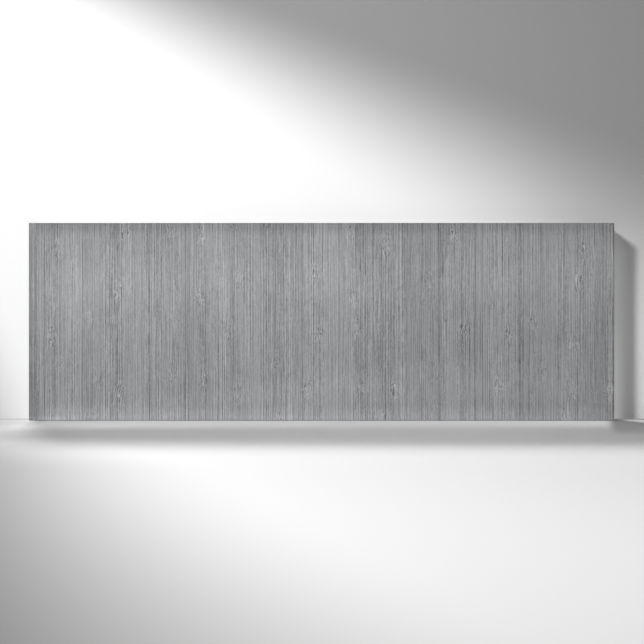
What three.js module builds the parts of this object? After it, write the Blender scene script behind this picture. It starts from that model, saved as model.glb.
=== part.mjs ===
// A desk name plate: a thick clear acrylic block with a printed grain sheet bonded to its back.
// Millimetres, +Z up. The plate stands on its long bottom edge and faces -Y. The origin is at the
// middle of its footprint, on the surface that it stands on.
import * as THREE from "three";

// The face of the plate
const plateLength = 216;
const plateHeight = 73;
const cornerRadius = 0.5;

// The block, and the small polished round along the edges of its front face
const blockThickness = 12.7;
const edgeRound = 0.4;
const roundSteps = 4;

// The layers bonded behind the block, from front to back
const filmThickness = 0.1;
const printThickness = 0.25;
const backingThickness = 0.5;

// Where each piece's rear face lies along Y, with the whole stack centred on the origin
const stackThickness = blockThickness + filmThickness + printThickness + backingThickness;
const backingRear = stackThickness / 2;
const printRear = backingRear - backingThickness;
const filmRear = printRear - printThickness;
const blockRear = filmRear - filmThickness;

// Finishes
const clearAcrylic = new THREE.MeshStandardMaterial({
  color: 0xe4e9ec,
  roughness: 0.03,
  metalness: 0,
  transparent: true,
  opacity: 0.3,
});
const clearAdhesive = new THREE.MeshStandardMaterial({
  color: 0xf2f4f4,
  roughness: 0.1,
  metalness: 0,
  transparent: true,
  opacity: 0.3,
});
const greyGrainPrint = new THREE.MeshStandardMaterial({
  color: 0x969799,
  roughness: 0.6,
  metalness: 0,
});
const whiteSheet = new THREE.MeshStandardMaterial({
  color: 0xe6e6e3,
  roughness: 0.55,
  metalness: 0,
});

// The angle turned through by a quarter of a circle
const quarterTurn = Math.PI / 2;

// The corners of the face, in the order that the outline goes round them, anticlockwise from +X
const corners = [
  { side: 1, end: 1 },
  { side: -1, end: 1 },
  { side: -1, end: -1 },
  { side: 1, end: -1 },
];

// The outline of the face, moved in all round by inset, with its corners rounded
function faceOutline(inset) {
  const radius = cornerRadius - inset;
  const centreX = plateLength / 2 - cornerRadius;
  const centreY = plateHeight / 2 - cornerRadius;
  return corners.flatMap(({ side, end }, corner) =>
    Array.from({ length: roundSteps + 1 }, (_, step) => {
      const angle = (corner + step / roundSteps) * quarterTurn;
      return new THREE.Vector2(
        side * centreX + radius * Math.cos(angle),
        end * centreY + radius * Math.sin(angle),
      );
    }),
  );
}

// A closed solid lofted through outlines of the face, one at each level of the profile, from the
// rear face at zero forwards
function loft(profile) {
  const outlines = profile.map((level) => faceOutline(level.inset));
  const around = outlines[0].length;
  const positions = outlines.flatMap((outline, i) =>
    outline.flatMap((point) => [point.x, point.y, profile[i].depth]),
  );
  const faces = [];
  for (let level = 1; level < profile.length; level += 1) {
    for (let i = 0; i < around; i += 1) {
      const next = (i + 1) % around;
      const low = (level - 1) * around;
      const high = level * around;
      faces.push(low + i, low + next, high + next);
      faces.push(low + i, high + next, high + i);
    }
  }
  const front = (profile.length - 1) * around;
  for (const [a, b, c] of THREE.ShapeUtils.triangulateShape(outlines[0], [])) {
    faces.push(c, b, a);
    faces.push(front + a, front + b, front + c);
  }
  const solid = new THREE.BufferGeometry();
  solid.setAttribute("position", new THREE.Float32BufferAttribute(positions, 3));
  solid.setIndex(faces);
  solid.computeVertexNormals();
  return solid;
}

// A layer with square edges, trimmed flush with the block
function sheet(thickness) {
  return loft([
    { depth: 0, inset: 0 },
    { depth: thickness, inset: 0 },
  ]);
}

// The block's sides run straight from its square rear edge to the quarter round at its front face
function block() {
  const profile = [{ depth: 0, inset: 0 }];
  for (let step = 0; step <= roundSteps; step += 1) {
    const angle = (step / roundSteps) * quarterTurn;
    profile.push({
      depth: blockThickness - edgeRound * (1 - Math.sin(angle)),
      inset: edgeRound * (1 - Math.cos(angle)),
    });
  }
  return loft(profile);
}

// Stands a piece on its long edge, facing -Y, with its rear face at the given place along Y
function standUp(name, geometry, material, rear) {
  const piece = new THREE.Mesh(geometry, material);
  piece.name = name;
  piece.rotation.x = quarterTurn;
  piece.position.set(0, rear, plateHeight / 2);
  return piece;
}

const namePlate = new THREE.Group();
namePlate.add(
  standUp("acrylic_block", block(), clearAcrylic, blockRear),
  standUp("clear_bonding_film", sheet(filmThickness), clearAdhesive, filmRear),
  standUp("grain_print_sheet", sheet(printThickness), greyGrainPrint, printRear),
  standUp("backing_sheet", sheet(backingThickness), whiteSheet, backingRear),
);

export default namePlate;
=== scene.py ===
# %% [markdown]
# # A desk name plate in clear acrylic
# The real object is a thick clear block with a grey bamboo-grain picture bonded to its back. This
# lesson loads the measured solids first, then gives each layer the shape and finish that it has in
# life. Lengths are in metres, +Z is up, and the plate faces -Y.

import math

import bmesh
import bpy
from mathutils import Matrix, Vector


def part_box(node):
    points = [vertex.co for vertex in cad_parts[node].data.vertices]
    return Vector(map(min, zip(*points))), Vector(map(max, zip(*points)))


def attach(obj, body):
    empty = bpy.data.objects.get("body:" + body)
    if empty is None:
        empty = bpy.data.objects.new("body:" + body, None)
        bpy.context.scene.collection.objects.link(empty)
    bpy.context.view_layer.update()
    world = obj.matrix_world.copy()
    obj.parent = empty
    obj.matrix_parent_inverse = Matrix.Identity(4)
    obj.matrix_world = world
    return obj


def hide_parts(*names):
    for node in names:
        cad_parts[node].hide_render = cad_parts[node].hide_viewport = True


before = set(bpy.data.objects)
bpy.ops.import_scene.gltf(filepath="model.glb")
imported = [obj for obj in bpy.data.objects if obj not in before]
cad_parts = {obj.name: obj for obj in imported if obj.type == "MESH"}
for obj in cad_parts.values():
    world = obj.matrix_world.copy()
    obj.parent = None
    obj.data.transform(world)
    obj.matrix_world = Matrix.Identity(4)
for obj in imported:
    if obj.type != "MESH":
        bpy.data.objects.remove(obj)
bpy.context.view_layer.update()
print("solids:", sorted(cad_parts))

# %% [markdown]
# ## Where everything sits
# The layers lie one behind the other along Y. Their places are read from the solids instead of
# being typed again, so this file still fits when the plate changes size. The bonding film has the
# same refractive index as the block, and light doesn't notice where one ends and the other begins.
# So one clear piece stands for both, and reaches back to the printed sheet.

# %% Places read from the solids
MM = 0.001
block_low, block_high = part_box("acrylic_block")
print_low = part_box("grain_print_sheet")[0]
backing_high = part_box("backing_sheet")[1]
plate_length = block_high.x - block_low.x
plate_height = block_high.z - block_low.z
plate_middle = (block_low + block_high) / 2
face_y = block_low.y
print("face:", round(plate_length, 4), "by", round(plate_height, 4), "m")
print("front of the block at y:", round(face_y, 6))

# %% [markdown]
# ## Helpers for shader nodes
# Every finish below is a row of nodes. These helpers add one node, set its values and wire its
# inputs, so that each material reads from the coordinates down to the shader. A plain number can
# stand where a wire could, because plug() takes either.


# %% Node helpers
def plug(tree, value, socket):
    if isinstance(value, bpy.types.NodeSocket):
        tree.links.new(value, socket)
    else:
        socket.default_value = value


def add_node(tree, kind, inputs, **settings):
    made = tree.nodes.new(kind)
    for key, value in settings.items():
        setattr(made, key, value)
    for key, value in inputs.items():
        plug(tree, value, made.inputs[key])
    return made


def new_material(name, colour, roughness):
    material = bpy.data.materials.new(name)
    material.use_nodes = True
    tree = material.node_tree
    shader = tree.nodes["Principled BSDF"]
    shader.inputs["Base Color"].default_value = (*colour, 1.0)
    shader.inputs["Roughness"].default_value = roughness
    return material, tree, shader


# %% [markdown]
# ## Sums, colours and places in nodes
# Most of the work in a procedural finish is arithmetic. ease() is used the most: it takes a value
# from one number to another without a hard start or end. Patterns read Object coordinates, which
# stay with a piece when it moves, and they are turned to millimetres to keep the numbers readable.


# %% Arithmetic helpers
def maths(tree, operation, *values):
    inputs = dict(enumerate(values))
    return add_node(tree, "ShaderNodeMath", inputs, operation=operation).outputs[0]


def chain(tree, operation, values):
    result = values[0]
    for value in values[1:]:
        result = maths(tree, operation, result, value)
    return result


def add_up(tree, *values):
    return chain(tree, "ADD", values)


def times(tree, *values):
    return chain(tree, "MULTIPLY", values)


def ease(tree, value, start, end, at_start, at_end):
    spans = {"From Min": start, "From Max": end, "To Min": at_start, "To Max": at_end}
    inputs = {"Value": value, **spans}
    return add_node(tree, "ShaderNodeMapRange", inputs, interpolation_type="SMOOTHSTEP").outputs[0]


# %% Colour and place helpers
def join(tree, x, y, z=0.0):
    return add_node(tree, "ShaderNodeCombineXYZ", {"X": x, "Y": y, "Z": z}).outputs[0]


def grey(tree, value):
    return join(tree, value, value, value)


def scaled(tree, vector, factor):
    inputs = {0: vector, "Scale": factor}
    return add_node(tree, "ShaderNodeVectorMath", inputs, operation="SCALE").outputs[0]


def place_in_mm(tree):
    place = add_node(tree, "ShaderNodeTexCoord", {}).outputs["Object"]
    split = add_node(tree, "ShaderNodeSeparateXYZ", {0: scaled(tree, place, 1 / MM)})
    return split.outputs["X"], split.outputs["Y"], split.outputs["Z"]


# %% [markdown]
# ## Helpers for meshes
# New pieces start from a bmesh box that fills a place in the frame. Bevel is given every setting,
# because its defaults in code differ from the editor's.


# %% Mesh helpers
def box_between(low, high):
    bm = bmesh.new()
    bmesh.ops.create_cube(bm, size=1.0)
    bmesh.ops.scale(bm, vec=high - low, verts=bm.verts)
    bmesh.ops.translate(bm, vec=(low + high) / 2, verts=bm.verts)
    return bm


def round_edges(bm, edges, radius, segments):
    bmesh.ops.bevel(
        bm,
        geom=edges,
        offset=radius,
        offset_type="OFFSET",
        segments=segments,
        profile=0.5,
        affect="EDGES",
        clamp_overlap=True,
        material=-1,
    )


def finish_object(bm, name, material):
    mesh = bpy.data.meshes.new(name)
    bm.to_mesh(mesh)
    bm.free()
    mesh.materials.append(material)
    made = bpy.data.objects.new(name, mesh)
    bpy.context.scene.collection.objects.link(made)
    return made


# %% [markdown]
# ## Marks of making and handling
# Polished plastic is never perfect. Seen close, its faces swell and dip by a hair, and cloths leave
# fine scratches. The clear block and the white sheet behind it both have these marks, so they are
# one node group with named inputs, placed in each material with its own values.

# %% The group, and its uneven surface
marks = bpy.data.node_groups.new("handling_marks", "ShaderNodeTree")
for name, value in (("Wave Length", 20.0), ("Scratch Spacing", 6.0), ("Scratch Share", 0.3)):
    socket = marks.interface.new_socket(name, in_out="INPUT", socket_type="NodeSocketFloat")
    socket.default_value = value
for name in ("Waves", "Scratches"):
    marks.interface.new_socket(name, in_out="OUTPUT", socket_type="NodeSocketFloat")
given = marks.nodes.new("NodeGroupInput").outputs
results = marks.nodes.new("NodeGroupOutput").inputs
x, y, z = place_in_mm(marks)
spot = join(marks, x, y, z)
wave_scale = maths(marks, "DIVIDE", 1.0, given["Wave Length"])
waves = add_node(marks, "ShaderNodeTexNoise", {"Vector": spot, "Scale": wave_scale})
marks.links.new(waves.outputs["Fac"], results["Waves"])
print("group:", marks.name)

# %% [markdown]
# ## Fine scratches
# A cloth moves to and fro, so its scratches run mostly two ways. The borders between long, thin
# Voronoi cells are fine lines that cross and fade like them. Two turned sets are laid over each
# other, and a slow noise keeps them in patches.

# %% Scratches for the group
scratch_turns = (24.0, -62.4)
scratch_stretch = 9.0
scratch_width = 0.012
patch_scale = 0.09
across_face = join(marks, x, z, y)
scratch_scale = maths(marks, "DIVIDE", 1.0, given["Scratch Spacing"])
borders = {"voronoi_dimensions": "2D", "feature": "DISTANCE_TO_EDGE"}
scratch_sets = []
for degrees in scratch_turns:
    turn = {"Rotation": (0, 0, math.radians(degrees)), "Scale": (1, 1 / scratch_stretch, 1)}
    inputs = {"Vector": across_face, **turn}
    turned = add_node(marks, "ShaderNodeMapping", inputs, vector_type="TEXTURE").outputs[0]
    inputs = {"Vector": turned, "Scale": scratch_scale}
    away = add_node(marks, "ShaderNodeTexVoronoi", inputs, **borders).outputs["Distance"]
    scratch_sets.append(ease(marks, away, 0.0, scratch_width, 1.0, 0.0))
patches = add_node(marks, "ShaderNodeTexNoise", {"Vector": spot, "Scale": patch_scale})
in_patch = maths(marks, "LESS_THAN", patches.outputs["Fac"], given["Scratch Share"])
scratches = times(marks, maths(marks, "MAXIMUM", *scratch_sets), in_patch)
marks.links.new(scratches, results["Scratches"])
print("group:", marks.name, "nodes:", len(marks.nodes))


# %% Place the marks, and bumps from them, in a material
def add_marks(tree, wave_length, scratch_spacing, scratch_share):
    made = tree.nodes.new("ShaderNodeGroup")
    made.node_tree = marks
    made.inputs["Wave Length"].default_value = wave_length
    made.inputs["Scratch Spacing"].default_value = scratch_spacing
    made.inputs["Scratch Share"].default_value = scratch_share
    return made.outputs["Waves"], made.outputs["Scratches"]


def add_bumps(tree, shader, height, strength, depth):
    inputs = {"Height": height, "Strength": strength, "Distance": depth}
    bumps = add_node(tree, "ShaderNodeBump", inputs)
    tree.links.new(bumps.outputs[0], shader.inputs["Normal"])


# %% [markdown]
# ## Clear acrylic
# The block is cast acrylic, which bends light a little less than window glass does. A Principled
# shader with full transmission and an index of 1.49 gives the deep edges and the bright and dark
# bands along the sides. A lamp can't be aimed at through solid glass, which would leave the picture
# behind it grainy, so lamp rays pass the block as if it were a grey filter. Every other ray is bent
# and mirrored as in life.

# %% Clear acrylic material
acrylic_index = 1.49
clearness = 0.99
scratch_depth = 0.02
scratch_blur = 0.05
clear_acrylic, tree, shader = new_material("clear_acrylic", (clearness,) * 3, roughness=0.0)
shader.inputs["IOR"].default_value = acrylic_index
shader.inputs["Transmission Weight"].default_value = 1.0
waves, scratches = add_marks(tree, wave_length=26.0, scratch_spacing=7.0, scratch_share=0.36)
height = maths(tree, "MULTIPLY_ADD", scratches, -scratch_depth, waves)
add_bumps(tree, shader, height, strength=0.25, depth=0.02 * MM)
blur = ease(tree, scratches, 0.0, 1.0, 0.0, scratch_blur)
tree.links.new(blur, shader.inputs["Roughness"])
print("clear acrylic: index", acrylic_index)

# %% [markdown]
# ## A fine dark line of painted shade round the face
# The narrow round between the face and the sides turns away from the lamp at the right and the
# bottom, so it lies in shade there. It shows as a fine dark line, strong at the right and the
# bottom, weak at the top and next to nothing at the left. A rough round would scatter light and
# turn pale, so a mask paints this shade into the colour of the clear material instead, and keeps to
# the outermost part of the face.

# %% Mask the painted edge shade
# A line: the millimetres in from the edge where it starts and where it is darkest, and how dark
left_line, right_line = (0.36, 0.1, 0.1), (0.44, 0.36, 0.78)
top_line, bottom_line = (0.36, 0.1, 0.3), (0.25, 0.19, 0.85)
line_depth = 0.42
edge_shade_darkens = 0.97
half_long, half_tall = plate_length / 2 / MM, plate_height / 2 / MM
x, y, z = place_in_mm(tree)
past_x = maths(tree, "SUBTRACT", x, plate_middle.x / MM)
past_z = maths(tree, "SUBTRACT", z, plate_middle.z / MM)


def shaded_edge_line(place, edge, line):
    starts, darkest, dark = line
    inwards = -math.copysign(1.0, edge)
    return ease(tree, place, edge + inwards * starts, edge + inwards * darkest, 0.0, dark)


lines = [
    shaded_edge_line(past_x, -half_long, left_line),
    shaded_edge_line(past_x, half_long, right_line),
    shaded_edge_line(past_z, half_tall, top_line),
    shaded_edge_line(past_z, -half_tall, bottom_line),
]
# Painted shade: the round is darkened where it faces away from the lamp, most at the right and
# bottom.
on_round = maths(tree, "LESS_THAN", y, face_y / MM + line_depth)
painted_edge_shade = times(tree, chain(tree, "MAXIMUM", lines), on_round)
clear = maths(tree, "MULTIPLY_ADD", painted_edge_shade, -edge_shade_darkens, clearness)
tree.links.new(grey(tree, clear), shader.inputs["Base Color"])
print("painted edge shades:", len(lines))

# %% [markdown]
# ## Bands along the inside of the edges
# Bent light falls short of the picture's top and left edges, and the bottom and right faces turn
# more of it back onto the picture. In the photograph this leaves a darker band at the top, which
# fades out over 5 mm, a narrower one at the left, about 1.5 mm wide, and lighter ones at the bottom
# and the right. The filter doesn't bend light, so it is graded to match: a lamp ray that comes in
# by the top or left face is dimmed, and one that comes in by the front, on its way to the bottom or
# right edge, is let through more fully. What leaves by the right face lands on the wall, so it is
# dimmed too, or the block would throw no shadow there. It's dimmed least low down at the rear,
# which softens the shadow's lower end.

# %% Find the face that a lamp ray comes in by
near_face = 0.1
x, y, z = place_in_mm(tree)
by_front = maths(tree, "LESS_THAN", y, face_y / MM + near_face)
by_top = maths(tree, "GREATER_THAN", z, block_high.z / MM - near_face)
by_left = maths(tree, "LESS_THAN", x, block_low.x / MM + near_face)
by_right = maths(tree, "GREATER_THAN", x, block_high.x / MM - near_face)
print("a face reaches", near_face, "mm into the block")

# %% Grade the lamp filter
# Where each band starts and where it is full, in millimetres, and how much it dims or lifts
ink_mm = print_low.y / MM
top_span, dim_top = (ink_mm - 8.2, ink_mm - 0.6), 0.36
left_span, dim_left = (ink_mm - 4.9, ink_mm - 4.3), 0.34
bottom_span, lift_bottom = (16.0, 10.8), 0.42
right_span, lift_right = (96.4, 97.8), 0.26
low_down, front_to_rear = (50.0, 0.0), (-3.5, 4.5)
dim_front, dim_high_rear, dim_low_rear = 0.8, 0.5, 0.08
top_band = times(tree, ease(tree, y, *top_span, 0.0, dim_top), by_top)
left_band = times(tree, ease(tree, y, *left_span, 0.0, dim_left), by_left)
bottom_band = times(tree, ease(tree, z, *bottom_span, 0.0, lift_bottom), by_front)
right_band = times(tree, ease(tree, x, *right_span, 0.0, lift_right), by_front)
dim_rear = ease(tree, z, *low_down, dim_high_rear, dim_low_rear)
right_side = times(tree, ease(tree, y, *front_to_rear, dim_front, dim_rear), by_right)
dimmed = maths(tree, "SUBTRACT", 1.0, add_up(tree, top_band, left_band, right_side))
lifted = add_up(tree, dimmed, maths(tree, "MAXIMUM", bottom_band, right_band))
print("bands dim by up to", dim_top, "and lift by up to", lift_bottom)


# %% Let lamp rays through the filter
def let_through(tree, shader, rays, colour):
    passing = add_node(tree, "ShaderNodeBsdfTransparent", {"Color": colour})
    inputs = {0: rays, 1: shader.outputs[0], 2: passing.outputs[0]}
    mixed = add_node(tree, "ShaderNodeMixShader", inputs)
    tree.links.new(mixed.outputs[0], tree.nodes["Material Output"].inputs["Surface"])


lamp_filter = 0.70
lamp_rays = add_node(tree, "ShaderNodeLightPath", {}).outputs["Is Shadow Ray"]
let_through(tree, shader, lamp_rays, grey(tree, times(tree, lifted, lamp_filter)))
print("clear acrylic:", len(tree.nodes), "nodes")

# %% [markdown]
# ## The clear block
# A block is sawn from sheet and its edges are polished, which leaves a tiny round on them. A Bevel
# modifier could round a cube, but bevels made in the mesh let the corners and the front edges each
# have their own radius. The rear steps into the printed sheet by a hair: ink touches acrylic there
# with no air between, and two faces in exactly one place would flicker.

# %% Shape the clear block
corner_radius = 0.3 * MM
edge_round = 0.4 * MM
round_steps = 6
ink_overlap = 0.02 * MM
step_inset = 0.01 * MM
flat_back = 0.999


def faces_back(bm):
    return [face for face in bm.faces if face.normal.y > flat_back]


bm = box_between(block_low, Vector((block_high.x, print_low.y, block_high.z)))
front_to_back = [e for e in bm.edges if abs(e.verts[0].co.y - e.verts[1].co.y) > edge_round]
round_edges(bm, front_to_back, corner_radius, round_steps)
front = [e for e in bm.edges if max(v.co.y for v in e.verts) < face_y + ink_overlap]
round_edges(bm, front, edge_round, round_steps)
bmesh.ops.inset_region(bm, faces=faces_back(bm), thickness=step_inset, use_even_offset=True)
rear = max(faces_back(bm), key=lambda face: face.calc_area())
bmesh.ops.translate(bm, vec=(0, ink_overlap, 0), verts=list(rear.verts))
bmesh.ops.recalc_face_normals(bm, faces=bm.faces)
print("clear block:", len(bm.faces), "faces")

# %% [markdown]
# ## Smooth rounds, flat faces
# Smooth shading makes a round of a few narrow faces look turned, but it would make the big faces
# look like pillows. So only the narrow faces are shaded smooth. The piece then takes the place of
# the two clear solids, and rides on the plate's one body.

# %% Shade and place the clear block
narrow_area = corner_radius * plate_length
turned_back = 0.9
for face in bm.faces:
    face.smooth = face.calc_area() < narrow_area and face.normal.y < turned_back
clear_block = finish_object(bm, "clear_block", clear_acrylic)
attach(clear_block, "root")
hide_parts("acrylic_block", "clear_bonding_film")
print("smooth faces:", sum(face.use_smooth for face in clear_block.data.polygons))

# %% [markdown]
# ## The bamboo-grain picture
# The picture is a common material pattern: straight bamboo fibres about a quarter of a millimetre
# wide, with small knuckles where leaves once grew. A scan would be one fixed picture. Here it grows
# from noise instead, so it has detail at any distance. Stretched Voronoi cells make good fibres:
# each cell is one fibre with its own tone and its own pointed ends. Several sets, from plate-high
# to less than a millimetre long, are laid over each other. Each set reads the noise at its own
# offset, or they would all repeat one pattern. swing() takes a tone that runs from 0 to 1 and lets
# it go as far below nothing as above it, so that adding a set doesn't make the whole sheet paler.


# %% Building blocks of the grain
def from_place(tree, value, offset, length):
    return maths(tree, "MULTIPLY_ADD", value, 1 / length, offset / length)


def swing(tree, value, strength):
    return maths(tree, "MULTIPLY_ADD", value, strength, -strength / 2)


def grain_spot(tree, across, along, offset, width, length):
    across_cells = from_place(tree, across, offset, width)
    along_cells = from_place(tree, along, offset, length)
    return join(tree, across_cells, along_cells)


def grain_noise(tree, across, along, offset, width, length, detail=0.0):
    spot = grain_spot(tree, across, along, offset, width, length)
    inputs = {"Vector": spot, "Scale": 1.0, "Detail": detail}
    return add_node(tree, "ShaderNodeTexNoise", inputs, noise_dimensions="2D").outputs["Fac"]


def grain_cells(tree, across, along, offset, width, length, randomness=1.0):
    spot = grain_spot(tree, across, along, offset, width, length)
    inputs = {"Vector": spot, "Scale": 1.0, "Randomness": randomness}
    return add_node(tree, "ShaderNodeTexVoronoi", inputs, voronoi_dimensions="2D")


def cell_tone(tree, cells):
    return add_node(tree, "ShaderNodeSeparateColor", {0: cells.outputs["Color"]}).outputs[0]


def fibre_tone(tree, across, along, offset, width, length):
    return cell_tone(tree, grain_cells(tree, across, along, offset, width, length))


# %% [markdown]
# ## Knuckles first
# A knuckle changes the fibres round it, so it is found before they are. Large Voronoi cells scatter
# points over the sheet, about two in three of them are kept, and two soft ovals round each kept
# point say how far its knot and its wavy surroundings reach.

# %% The picture's material and its knuckles
plain_grey = (0.315, 0.315, 0.315)
grain_picture, tree, shader = new_material("grey_grain_print", plain_grey, roughness=0.6)
shader.inputs["Specular IOR Level"].default_value = 0.0
knuckle_offset, knuckle_width, knuckle_height = 7.0, 14.0, 17.0
knuckle_scatter = 0.8
kept_below, dropped_above = 0.6, 0.7
x, y, z = place_in_mm(tree)
knuckles = grain_cells(tree, x, z, knuckle_offset, knuckle_width, knuckle_height, knuckle_scatter)
centre = add_node(tree, "ShaderNodeSeparateXYZ", {0: knuckles.outputs["Position"]}).outputs
grid_x = from_place(tree, x, knuckle_offset, knuckle_width)
grid_z = from_place(tree, z, knuckle_offset, knuckle_height)
from_centre_x = maths(tree, "SUBTRACT", grid_x, centre["X"])
from_centre_z = maths(tree, "SUBTRACT", grid_z, centre["Y"])
kept = ease(tree, cell_tone(tree, knuckles), kept_below, dropped_above, 1.0, 0.0)


def oval(half_width, half_height):
    wide = times(tree, from_centre_x, knuckle_width / half_width)
    tall = times(tree, from_centre_z, knuckle_height / half_height)
    reach = maths(tree, "MULTIPLY_ADD", wide, wide, times(tree, tall, tall))
    return times(tree, ease(tree, reach, 0.0, 1.0, 1.0, 0.0), kept)


knot = oval(half_width=2.6, half_height=5.6)
surroundings = oval(half_width=3.8, half_height=18.0)
print("a knuckle may stand every", knuckle_width, "by", knuckle_height, "mm")

# %% [markdown]
# ## Fibres that bend round the knuckles
# The fibres run straight up, apart from a slow drift of a fraction of a millimetre. Near a knuckle
# they sway. Moving the coordinate that every set of fibres reads bends them all together, which is
# what keeps them looking like one piece of wood.

# %% The coordinate across the fibres
drift_reach = 0.3
sway_in_knot, sway_round_it = 1.15, 0.25
slow = grain_noise(tree, x, z, offset=300.0, width=14.0, length=42.0)
quick = grain_noise(tree, x, z, offset=530.0, width=1.6, length=3.6, detail=1.0)
sway_round = times(tree, surroundings, sway_round_it)
sway_reach = maths(tree, "MULTIPLY_ADD", knot, sway_in_knot, sway_round)
drift = swing(tree, slow, drift_reach)
sway = times(tree, swing(tree, quick, 1.0), sway_reach)
across = add_up(tree, x, drift, sway)
print("fibres drift by up to", drift_reach / 2, "mm")

# %% [markdown]
# ## From the longest fibres to the shortest
# Each set has a width, a length, a place in the noise and a strength. A long fibre stands out
# from the ones beside it, so part of its neighbours' tone is taken off its own. Short fibres are
# laid on top as they are, and the shortest are stronger in a knot, where the fibres turn towards
# the eye.

# %% Lay the fibres
# Width, length, offset, strength
long_sets = [(0.28, 900.0, 311.0, 0.28), (0.26, 34.0, 97.0, 0.29)]
# Width, length, offset, strength, how much is added in a knot
short_sets = [
    (0.24, 8.0, 523.0, 0.26, 0.0),
    (0.22, 2.4, 823.0, 0.20, 0.8),
    (0.24, 0.8, 1823.0, 0.20, 1.8),
]
neighbour = 0.37
taken_off = 0.36


def lay_long(width, length, offset, strength):
    own = swing(tree, fibre_tone(tree, across, z, offset, width, length), strength)
    for side in (-neighbour, neighbour):
        beside = fibre_tone(tree, maths(tree, "ADD", across, side), z, offset, width, length)
        own = maths(tree, "SUBTRACT", own, swing(tree, beside, strength * taken_off))
    return own


def lay_short(width, length, offset, strength, knot_gain):
    laid = swing(tree, fibre_tone(tree, across, z, offset, width, length), strength)
    return times(tree, laid, maths(tree, "MULTIPLY_ADD", knot, knot_gain, 1.0))


long_fibres = add_up(tree, *[lay_long(*fibre_set) for fibre_set in long_sets])
short_fibres = add_up(tree, *[lay_short(*fibre_set) for fibre_set in short_sets])
fibres = add_up(tree, short_fibres, long_fibres)
print("fibre sets:", len(long_sets), "long,", len(short_sets), "short")

# %% [markdown]
# ## Slow changes over the sheet
# A bamboo board is glued up from strips about 3 mm wide, and each has a tone of its own. Soft bands
# and wide clouds lie over them, and in some strips the fibres stand out more than in others.

# %% Strips, bands, clouds and liveliness
calm, lively = 0.75, 1.22
mood_span = (0.36, 0.64)
strip_tone = fibre_tone(tree, across, z, offset=41.0, width=3.3, length=700.0)
band_tone = grain_noise(tree, across, z, offset=170.0, width=5.0, length=60.0, detail=1.0)
cloud_tone = grain_noise(tree, x, z, offset=1000.0, width=22.0, length=60.0)
strips = swing(tree, strip_tone, strength=0.15)
bands = swing(tree, band_tone, strength=0.14)
clouds = swing(tree, cloud_tone, strength=0.15)
mood = grain_noise(tree, across, z, offset=61.0, width=3.2, length=220.0)
liveliness = ease(tree, mood, *mood_span, calm, lively)
lively_fibres = times(tree, fibres, liveliness)
print("fibre contrast from", calm, "to", lively)

# %% [markdown]
# ## Gaps between the fibres
# Here and there two fibres leave a fine dark gap. A few cells of a thin set are picked for this by
# their tone, some short and some running the whole height. In a knot the fibres are pressed
# together, so the gaps close there.

# %% Gaps that close in a knot
short_gap_depth, long_gap_depth = 0.18, 0.26
short_gap_picks, long_gap_picks = (0.91, 0.96), (0.955, 0.965)
closed_in_knot = 0.9
gap_tone = fibre_tone(tree, across, z, offset=1311.0, width=0.3, length=26.0)
long_gap_tone = fibre_tone(tree, across, z, offset=2111.0, width=0.3, length=400.0)
short_gaps = ease(tree, gap_tone, *short_gap_picks, 0.0, -short_gap_depth)
long_gaps = ease(tree, long_gap_tone, *long_gap_picks, 0.0, -long_gap_depth)
room = maths(tree, "MULTIPLY_ADD", knot, -closed_in_knot, 1.0)
gaps = times(tree, add_up(tree, short_gaps, long_gaps), room)
print("gaps darken by up to", long_gap_depth)

# %% [markdown]
# ## A faint glow at the foot
# Light that the block's bottom face turns back makes the lowest millimetre of the picture a little
# paler, at the left end only. The lamp filter doesn't bend light, so it can't gather it into a
# line. The print carries the line as part of its tone instead.

# %% The glow, and the whole tone
glow = 0.16
glow_upright, glow_sideways = (1.1, 0.8), (-84.0, -102.0)
mean_tone = 1.01
at_foot = ease(tree, z, *glow_upright, 0.0, glow)
at_left_end = ease(tree, x, *glow_sideways, 0.0, 1.0)
foot_glow = times(tree, at_foot, at_left_end)
tone = add_up(tree, lively_fibres, bands, clouds, strips, gaps, foot_glow, mean_tone)
print("mean tone:", mean_tone)

# %% [markdown]
# ## Ink
# The ink is a slightly cool grey. The tone multiplies it, so light and dark fibres keep one hue, as
# they do in the real print. It's written paler than it looks, because a bonded block turns part of
# the picture's light back. Bonded ink has no shine of its own, and the gloss comes from the block.

# %% Colour the picture
ink = (0.375, 0.381, 0.390)
dark_to_pale = (0.6, 1.4)
dark_roughness, pale_roughness = 0.68, 0.52
tree.links.new(scaled(tree, ink, tone), shader.inputs["Base Color"])
ink_roughness = ease(tree, tone, *dark_to_pale, dark_roughness, pale_roughness)
tree.links.new(ink_roughness, shader.inputs["Roughness"])
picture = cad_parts["grain_print_sheet"]
picture.data.materials.clear()
picture.data.materials.append(grain_picture)
print("picture:", len(tree.nodes), "nodes")

# %% [markdown]
# ## The white backing sheet
# A thin rigid sheet closes the back. It is white plastic with a fine pebbled surface, a little
# uneven in tone, and it picks up scuffs where the plate leans on things. Its solid has the right
# shape already and only gets this material. The pebbles are a bump, because they are far smaller
# than anything worth modelling, and they carry a little of the tone and the gloss as well.

# %% White sheet material
white = (0.76, 0.76, 0.745)
white_sheet, tree, shader = new_material("white_sheet", white, roughness=0.55)
waves, scratches = add_marks(tree, wave_length=34.0, scratch_spacing=11.0, scratch_share=0.5)
pebble_scale, pebble_detail, pebble_span = 1.7, 3.0, (0.3, 0.7)
dip_roughness, crest_roughness = 0.48, 0.66
scuff_darkens, scuff_depth = 0.14, 0.6
spot = join(tree, *place_in_mm(tree))
inputs = {"Vector": spot, "Scale": pebble_scale, "Detail": pebble_detail}
pebbles = add_node(tree, "ShaderNodeTexNoise", inputs).outputs["Fac"]
mottle = swing(tree, waves, strength=0.08)
specks = swing(tree, pebbles, strength=0.12)
scuffs = times(tree, scratches, -scuff_darkens)
white_tone = add_up(tree, mottle, specks, scuffs, 1.0)
tree.links.new(scaled(tree, white, white_tone), shader.inputs["Base Color"])
pebble_roughness = ease(tree, pebbles, *pebble_span, dip_roughness, crest_roughness)
tree.links.new(pebble_roughness, shader.inputs["Roughness"])
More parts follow.
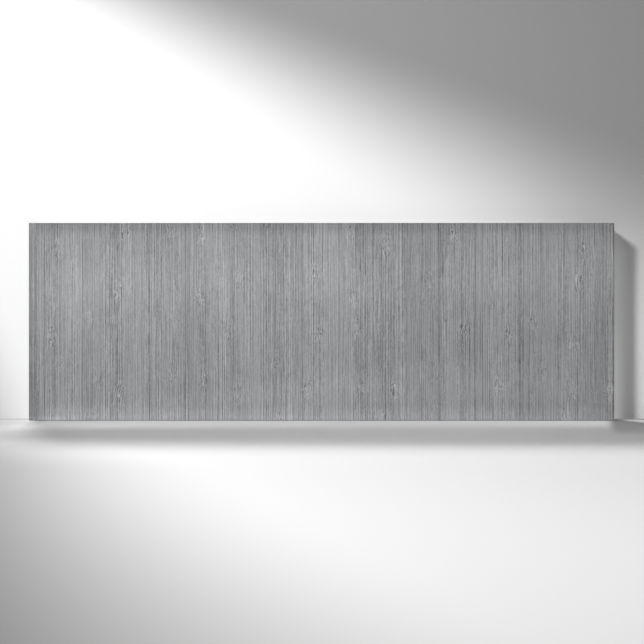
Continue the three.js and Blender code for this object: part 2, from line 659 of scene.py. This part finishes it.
height = maths(tree, "MULTIPLY_ADD", scratches, -scuff_depth, pebbles)
add_bumps(tree, shader, height, strength=0.5, depth=0.06 * MM)
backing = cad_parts["backing_sheet"]
backing.data.materials.clear()
backing.data.materials.append(white_sheet)
print("white sheet:", len(tree.nodes), "nodes")

# %% [markdown]
# ## A pale stage
# The plate stands on a pale floor with its back to a pale wall, which the photograph shows close
# behind it. Both are plain planes. They keep a hair's distance from the plate, or their faces would
# lie in the same place as its own.

# %% Pale material and plane
stage_white = 0.9
stage_sheen = 0.1
air_gap = 0.2 * MM
floor_gap = 0.05 * MM


def pale_material(name):
    material, tree, shader = new_material(name, (stage_white,) * 3, roughness=0.9)
    shader.inputs["Specular IOR Level"].default_value = stage_sheen
    return material, tree, shader


def pale_plane(half_side):
    bm = bmesh.new()
    bmesh.ops.create_grid(bm, x_segments=1, y_segments=1, size=1.0)
    bmesh.ops.scale(bm, vec=(half_side, half_side, 1), verts=bm.verts)
    return bm


# %% [markdown]
# ## The floor's painted light and shade
# The surface isn't evenly lit, and lamps alone can't draw its patches of light and shade right
# beside the plate. So the floor's colour carries them as painted light and shade, in millimetres
# from the plate's middle. It's a mid grey near the plate, painted a little darker behind it and
# nearly white far in front. A paler strip of painted light runs along the plate's foot, and a band
# of painted shadow lies in front of that.

# %% Painted grey from back to front
floor_material, tree, shader = pale_material("pale_floor")
x, y, z = place_in_mm(tree)
under_plate = (-4.0, 5.0)
far_in_front = (-140.0, -600.0)
front_grey, rear_grey, far_white = 0.47, 0.33, 0.86
# Painted shade behind the plate and painted light far in front of it.
near_pale = ease(tree, y, *under_plate, front_grey, rear_grey)
far_pale = ease(tree, y, *far_in_front, near_pale, far_white)
print("floor grey:", rear_grey, "behind,", front_grey, "near,", far_white, "far")

# %% The painted light strip at the foot
strip_left, strip_right = (-106.0, -99.0), (105.5, 109.5)
strip_fades, middle_to_end = (-10.0, -60.0), (0.0, 104.0)
strip_middle, strip_end = 0.25, 0.42
right_lean = -0.19
right_slant = maths(tree, "MULTIPLY_ADD", y, right_lean, x)
from_left = ease(tree, x, *strip_left, 0.0, 1.0)
to_right = ease(tree, right_slant, *strip_right, 1.0, 0.0)
in_front = ease(tree, y, *under_plate, 1.0, 0.0)
strip_strength = ease(tree, x, *middle_to_end, strip_middle, strip_end)
# Painted light: the glow that light through the clear block throws on the floor at its foot.
foot_reach = times(tree, from_left, to_right, in_front, strip_strength)
painted_foot_light = ease(tree, y, *strip_fades, foot_reach, 0.0)
print("foot strip: paler by", strip_middle, "to", strip_end)


# %% The painted shadow in front
def hill(tree, value, rise, fall, height):
    up = ease(tree, value, *rise, 0.0, height)
    down = ease(tree, value, *fall, 1.0, 0.0)
    return times(tree, up, down)


# Painted shadow: it deepens the plate's shadow that the rear lamp casts on the floor in front.
band_left, band_right = -0.13, -0.01
band_span = (-100.0, 60.0)
band_depth = ease(tree, x, *band_span, band_left, band_right)
painted_front_shadow = hill(tree, y, rise=(-30.0, -66.0), fall=(-80.0, -115.0), height=band_depth)
floor_pale = add_up(tree, far_pale, painted_foot_light, painted_front_shadow)
print("front band: darker by up to", -band_left)

# %% [markdown]
# ## Painted shade at both ends
# The floor is painted darker at the lower left, along a slanting edge that bulges out a little in
# front of the plate. At the right end the plate's own shadow lies on the floor by the wall, so a
# patch there is painted darker too.

# %% Dark left, shaded right
dark_left, dark_edge, edge_bulge = -162.0, -71.0, -21.0
dark_grey, left_lean = 0.05, 0.25
wall_span, end_span, corner_span = (-95.0, -40.0), (106.5, 111.0), (-7.0, 1.0)
front_shade, rear_shade = 0.7, 0.42
floor_slant = maths(tree, "MULTIPLY_ADD", y, left_lean, x)
bulge = hill(tree, y, rise=(-12.0, -60.0), fall=(-105.0, -190.0), height=edge_bulge)
light_starts = maths(tree, "ADD", bulge, dark_edge)
floor_left = ease(tree, floor_slant, dark_left, light_starts, dark_grey, floor_pale)
near_wall = ease(tree, y, *wall_span, 0.0, 1.0)
past_plate = ease(tree, right_slant, *end_span, 0.0, 1.0)
wall_shade = ease(tree, y, *corner_span, front_shade, rear_shade)
right_end = ease(tree, times(tree, near_wall, past_plate), 0.0, 1.0, 1.0, wall_shade)
floor_grey = times(tree, floor_left, right_end)
tree.links.new(grey(tree, floor_grey), shader.inputs["Base Color"])
print("floor paint:", len(tree.nodes), "nodes")

# %% Make the floor
floor_half = 4.0
bm = pale_plane(floor_half)
bmesh.ops.translate(bm, vec=(0, 0, -floor_gap), verts=bm.verts)
floor = finish_object(bm, "floor", floor_material)
print("floor faces:", len(floor.data.polygons))

# %% [markdown]
# ## A wall that can be looked through
# Only the wall's front is there. From behind it is see-through, so the back of the plate can be
# looked at too, and lamp rays pass it both ways. Within the plate's outline a veil dims them, or
# the lamp behind the wall would wash out the plate's white back.

# %% Where the wall lets light through
wall_material, tree, shader = pale_material("pale_wall")
veil = 0.215
veil_margin = 0.6
behind = add_node(tree, "ShaderNodeNewGeometry", {}).outputs["Backfacing"]
lamp_rays = add_node(tree, "ShaderNodeLightPath", {}).outputs["Is Shadow Ray"]
x, y, z = place_in_mm(tree)
past_x = maths(tree, "ABSOLUTE", maths(tree, "SUBTRACT", x, plate_middle.x / MM))
past_z = maths(tree, "ABSOLUTE", maths(tree, "SUBTRACT", z, plate_middle.z / MM))
within_x = maths(tree, "LESS_THAN", past_x, half_long + veil_margin)
within_z = maths(tree, "LESS_THAN", past_z, half_tall + veil_margin)
veiled = times(tree, within_x, within_z, lamp_rays)
passed = ease(tree, veiled, 0.0, 1.0, 1.0, veil)
let_through(tree, shader, maths(tree, "MAXIMUM", behind, lamp_rays), grey(tree, passed))
print("veil lets through", veil)

# %% [markdown]
# ## The wall's shade
# A soft slanting shade lies over the wall's upper right in the photograph, and its edge gets wider
# to the right. The far right and the lower left corner are a little greyer as well. A lamp with
# something in front of it could cast this, but painted shade keeps its shape when the lamps change.

# %% Paint the wall's shade
shade_turn = math.radians(31.1)
shade_starts, shade_ends, shade_widens = 78.5, 145.0, 0.2
shaded_grey, far_grey, low_grey = 0.3, 0.76, 0.4
far_span, low_span, low_lean = (60.0, 125.0), (-100.0, -140.0), 0.45
uphill = times(tree, z, math.cos(shade_turn))
slant = maths(tree, "MULTIPLY_ADD", x, math.sin(shade_turn), uphill)
downhill = times(tree, z, -math.sin(shade_turn))
along = maths(tree, "MULTIPLY_ADD", x, math.cos(shade_turn), downhill)
ends = maths(tree, "MULTIPLY_ADD", along, shade_widens, shade_ends)
far_side = ease(tree, x, *far_span, stage_white, far_grey)
low_corner = maths(tree, "MULTIPLY_ADD", z, low_lean, x)
low_side = ease(tree, low_corner, *low_span, stage_white, low_grey)
unshaded = maths(tree, "MINIMUM", low_side, far_side)
shade = ease(tree, slant, shade_starts, ends, unshaded, shaded_grey)
tree.links.new(grey(tree, shade), shader.inputs["Base Color"])
print("wall paint:", len(tree.nodes), "nodes")

# %% Make the wall
wall_half = 2.4
wall_y = backing_high.y + air_gap
bm = pale_plane(wall_half)
bmesh.ops.rotate(bm, matrix=Matrix.Rotation(math.pi / 2, 3, "X"), verts=bm.verts)
bmesh.ops.translate(bm, vec=(0, wall_y, 0), verts=bm.verts)
below = [v for v in bm.verts if v.co.z < 0]
bmesh.ops.translate(bm, vec=(0, 0, wall_half - floor_gap), verts=below)
wall = finish_object(bm, "wall", wall_material)
print("wall faces:", len(wall.data.polygons))

# %% [markdown]
# ## Light
# One soft lamp stands to the upper left and rather near, so the plate is brightest at its left and
# throws a soft shadow on the wall to its right. A second lamp stands behind the wall. It shines
# through the wall, lays the plate's shadow on the floor in front, and lights the plate's back. The
# sky round everything is plain white and dim. Neither lamp is seen through the glass, because the
# lamp filter already brings in all their light.

# %% Lamps
lamp_spread = math.radians(110)


def hang_lamp(name, turn, rise, reach, size, watts, seen_in_gloss):
    flat = reach * math.cos(rise)
    sideways, forwards, up = flat * math.sin(turn), -flat * math.cos(turn), reach * math.sin(rise)
    place = plate_middle + Vector((sideways, forwards, up))
    lamp = bpy.data.lights.new(name, "AREA")
    lamp.shape = "ELLIPSE"
    lamp.size, lamp.size_y = size
    lamp.energy = watts
    lamp.spread = lamp_spread
    hung = bpy.data.objects.new(name, lamp)
    hung.location = place
    hung.rotation_euler = (plate_middle - place).to_track_quat("-Z", "Y").to_euler()
    hung.visible_camera = False
    hung.visible_transmission = False
    hung.visible_glossy = seen_in_gloss
    bpy.context.scene.collection.objects.link(hung)
    print(name, "at", [round(v, 3) for v in place])


hang_lamp(
    "key_lamp",
    turn=math.radians(-30),
    rise=math.radians(31),
    reach=0.62,
    size=(0.1, 0.1),
    watts=1.39,
    seen_in_gloss=False,
)
hang_lamp(
    "rear_lamp",
    turn=math.radians(195.5),
    rise=math.radians(31),
    reach=1.2,
    size=(0.25, 0.2),
    watts=10.0,
    seen_in_gloss=True,
)

# %% Sky
sky_strength = 0.13
sky = bpy.data.worlds.new("sky")
sky.use_nodes = True
background = sky.node_tree.nodes["Background"]
background.inputs["Color"].default_value = (1.0, 1.0, 1.0, 1.0)
background.inputs["Strength"].default_value = sky_strength
bpy.context.scene.world = sky
print("sky:", sky_strength)

# %% [markdown]
# ## Camera
# The photograph looks square at the face. The plate spans about 585 of the photograph's 644 pixels,
# and that sets the distance for an 85 mm lens. Its rounded edges show as pale as the wall, so the
# whole face is given a little more. The plate's middle is a hair off the middle of the photograph,
# and the camera is moved aside by as much, which keeps the view square.

# %% Place the camera
photo_pixels = 644
plate_pixels = 585.8
plate_at = (321.53, 321.8)
lens_mm = 85.0
sensor_mm = 36.0
nearest, farthest = 0.01, 20.0
lens_pixels = photo_pixels * lens_mm / sensor_mm
metres_per_pixel = plate_length / plate_pixels
distance = lens_pixels * metres_per_pixel
aside = (photo_pixels / 2 - plate_at[0]) * metres_per_pixel
lower = (photo_pixels / 2 - plate_at[1]) * metres_per_pixel
camera_data = bpy.data.cameras.new("camera")
camera_data.lens = lens_mm
camera_data.sensor_width = sensor_mm
camera_data.clip_start = nearest
camera_data.clip_end = farthest
camera = bpy.data.objects.new("camera", camera_data)
camera.location = (plate_middle.x + aside, face_y - distance, plate_middle.z - lower)
camera.rotation_euler = (math.pi / 2, 0, 0)
bpy.context.scene.collection.objects.link(camera)
bpy.context.scene.camera = camera
bpy.context.scene.view_settings.view_transform = "Standard"
print("camera distance:", round(distance, 4))
